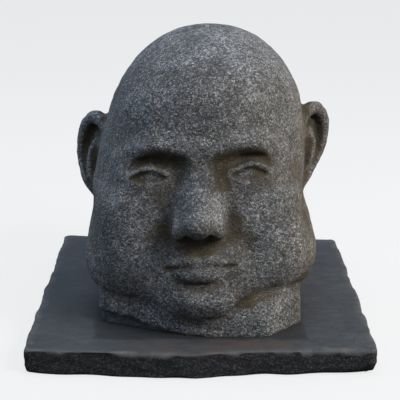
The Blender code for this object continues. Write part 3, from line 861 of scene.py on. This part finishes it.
def granite():
    """Grey speckled stone with soil and painted shade in its hollows and on its undersides, worn edges, ochre stains
    with painted warm light, and one broken dark band.
    """
    material, tree, shader, place = new_material("weathered_granite")
    bent = shaken(tree, place, 160, 0.0035)
    coarse, coarse_away = grains(tree, bent, 400)
    fine, fine_away = grains(tree, bent, 760)
    stone = mixed(tree, 0.5, tones(tree, coarse, GRAIN_TONES), tones(tree, fine, FLECK_TONES))
    patches = waves(tree, place, 26, 5)
    stone = mixed(tree, 1.0, stone, tones(tree, patches, greys(0.50, 1.35)), "MULTIPLY")
    clouds = waves(tree, place, 9, 3)
    stone = mixed(tree, ranged(tree, clouds, 0.45, 0.75, 0.0, 0.45), stone, (0.075, 0.062, 0.042))
    fading = waves(tree, place, 75, 4)
    # Ochre stain together with painted warm light from the right and from below
    ochre_and_warm_light = combined(tree, "MULTIPLY", marked(tree, "ochre_and_warm_light"), ranged(tree, fading, 0.3, 0.7, 0.2, 0.9))
    stone = mixed(tree, ochre_and_warm_light, stone, mixed(tree, 0.5, stone, (0.150, 0.092, 0.036)))
    # Soil with painted shade in hollows, on undersides and at the foot
    soil_and_shade = combined(tree, "ADD", marked(tree, "soil_and_shade"), ranged(tree, fading, 0.25, 0.75, -0.35, 0.25))
    soil_and_shade = ranged(tree, soil_and_shade, 0.15, 0.95, 0.0, 0.92)
    stone = mixed(tree, soil_and_shade, stone, tones(tree, waves(tree, place, 38, 4), SOIL_AND_SHADE_TONES))
    wear = combined(tree, "MULTIPLY", marked(tree, "wear"), ranged(tree, coarse, 0.2, 0.9, 0.2, 1.0))
    stone = mixed(tree, ranged(tree, wear, 0.0, 1.0, 0.0, 0.55), stone, (0.40, 0.39, 0.37))
    stone = mixed(tree, ranged(tree, marked(tree, "broken"), 0, 1, 0, 0.8), stone, (0.022, 0.023, 0.026))
    tree.links.new(stone, shader.inputs["Base Color"])
    tree.links.new(ranged(tree, fine, 0, 1, 0.72, 0.92), shader.inputs["Roughness"])
    shader.inputs["Specular IOR Level"].default_value = 0.35
    height = combined(tree, "MULTIPLY", coarse_away, -0.7)
    height = combined(tree, "ADD", height, combined(tree, "MULTIPLY", fine_away, -0.35))
    height = combined(tree, "ADD", height, combined(tree, "MULTIPLY", waves(tree, place, 130, 4), 1.3))
    raised(tree, shader, height, 0.0016)
    return material


def slate():
    """Dark split stone: riven and faintly streaked on top, speckled and nearly black on its broken sides, with painted
    warm light along the front of the top and a painted contact shadow round the block.
    """
    material, tree, shader, place = new_material("riven_slate")
    long_way = stretched(tree, place, (0.35, 1, 1))
    streaks = waves(tree, long_way, 120, 6, 0.65)
    stone = tones(tree, streaks, SLATE_TONES)
    clouds = waves(tree, place, 14, 4)
    stone = mixed(tree, 1.0, stone, tones(tree, clouds, greys(0.75, 1.2)), "MULTIPLY")
    grain, away = grains(tree, place, 620)
    stone = mixed(tree, ranged(tree, grain, 0.90, 0.97, 0.0, 0.6), stone, (0.014, 0.014, 0.015))
    # Brownish tint along the front of the top: painted warm light
    painted_warm_tint = combined(tree, "MULTIPLY", marked(tree, "painted_warm_tint"), 0.75)
    stone = mixed(tree, painted_warm_tint, stone, (0.070, 0.054, 0.043))
    stone = mixed(tree, combined(tree, "MULTIPLY", marked(tree, "pale"), 0.6), stone, (0.090, 0.086, 0.084))
    speckled = tones(tree, grain, ((0.30, (0.010, 0.010, 0.010)), (0.80, (0.040, 0.040, 0.041)),
                                   (0.97, (0.130, 0.125, 0.120))))
    stone = mixed(tree, marked(tree, "side"), stone, mixed(tree, 0.35, speckled, (0.024, 0.023, 0.023)))
    arris = combined(tree, "MULTIPLY", marked(tree, "arris"), ranged(tree, streaks, 0.3, 0.6, 0.2, 0.8))
    stone = mixed(tree, arris, stone, (0.135, 0.122, 0.110))
    # Painted contact shadow round the block's foot
    stone = mixed(tree, combined(tree, "MULTIPLY", marked(tree, "soil_and_shade"), 0.7), stone, (0.012, 0.012, 0.011))
    tree.links.new(stone, shader.inputs["Base Color"])
    tree.links.new(ranged(tree, streaks, 0.3, 0.7, 0.62, 0.80), shader.inputs["Roughness"])
    shader.inputs["Specular IOR Level"].default_value = 0.4
    height = combined(tree, "ADD", streaks, combined(tree, "MULTIPLY", waves(tree, place, 260, 3), 0.5))
    height = combined(tree, "ADD", height, combined(tree, "MULTIPLY", away, -0.3))
    raised(tree, shader, height, 0.0009)
    return material


# Stage, light and camera

def build_floor():
    """A wide pale floor that glows a little, so that it stays even."""
    mesh = bpy.data.meshes.new("floor")
    half = 40
    mesh.from_pydata([(-half, -half, 0), (half, -half, 0), (half, half, 0), (-half, half, 0)], [], [(0, 1, 2, 3)])
    material = bpy.data.materials.new("pale_floor")
    material.use_nodes = True
    shader = material.node_tree.nodes["Principled BSDF"]
    shader.inputs["Base Color"].default_value = (0.12, 0.12, 0.12, 1)
    shader.inputs["Roughness"].default_value = 1.0
    shader.inputs["Specular IOR Level"].default_value = 0.0
    shader.inputs["Emission Color"].default_value = (0.76, 0.76, 0.76, 1)
    shader.inputs["Emission Strength"].default_value = 1.0
    mesh.materials.append(material)
    floor = bpy.data.objects.new("floor", mesh)
    floor.visible_diffuse = False
    floor.visible_glossy = False
    bpy.context.collection.objects.link(floor)
    return floor


def soft_light(name, place, target, power, size, colour):
    data = bpy.data.lights.new(name, "AREA")
    data.energy, data.size, data.color = power, size, colour
    lamp = bpy.data.objects.new(name, data)
    lamp.location = place
    lamp.rotation_euler = (Vector(target) - Vector(place)).to_track_quat("-Z", "Y").to_euler()
    bpy.context.collection.objects.link(lamp)


def build_sky():
    """Cool light from above, even at the sides and dim below."""
    world = bpy.data.worlds.new("studio")
    bpy.context.scene.world = world
    world.use_nodes = True
    tree = world.node_tree
    ways = add(tree, "ShaderNodeTexCoord").outputs["Generated"]
    up = add(tree, "ShaderNodeSeparateXYZ", {0: ways}).outputs["Z"]
    height = ranged(tree, up, -1, 1)
    sky = tones(tree, height, ((0.44, (0.05, 0.05, 0.05)), (0.50, (0.22, 0.25, 0.30)), (1.0, (0.42, 0.50, 0.64))))
    tree.links.new(sky, tree.nodes["Background"].inputs["Color"])


def build_lights():
    middle = (0, 0, 0.25)
    soft_light("key", (1.55, -1.10, 1.75), middle, 46, 0.9, (1.0, 0.97, 0.92))
    soft_light("top", (-0.2, 0.3, 2.2), middle, 16, 1.2, (0.80, 0.88, 1.0))
    soft_light("cool_left", (-1.9, 0.5, 0.9), middle, 12, 1.2, (0.55, 0.75, 1.0))
    soft_light("warm_right", (1.7, 0.5, 0.35), middle, 10, 0.8, (1.0, 0.80, 0.50))


def build_camera():
    data = bpy.data.cameras.new("camera")
    data.lens = CAMERA_LENS
    camera = bpy.data.objects.new("camera", data)
    camera.location = CAMERA_AT
    camera.rotation_euler = (CAMERA_PITCH, 0, 0)
    bpy.context.collection.objects.link(camera)
    bpy.context.scene.camera = camera


def main():
    stone = build_carved_stone(granite())
    slab = build_split_slab(slate())
    for piece, node, finish in ((stone, "head", "carved_stone"), (slab, "base_slab", "split_slab")):
        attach(piece, "root")
        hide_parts(node)
    build_floor()
    build_sky()
    build_lights()
    build_camera()
    bpy.context.scene.view_settings.view_transform = "Standard"


main()
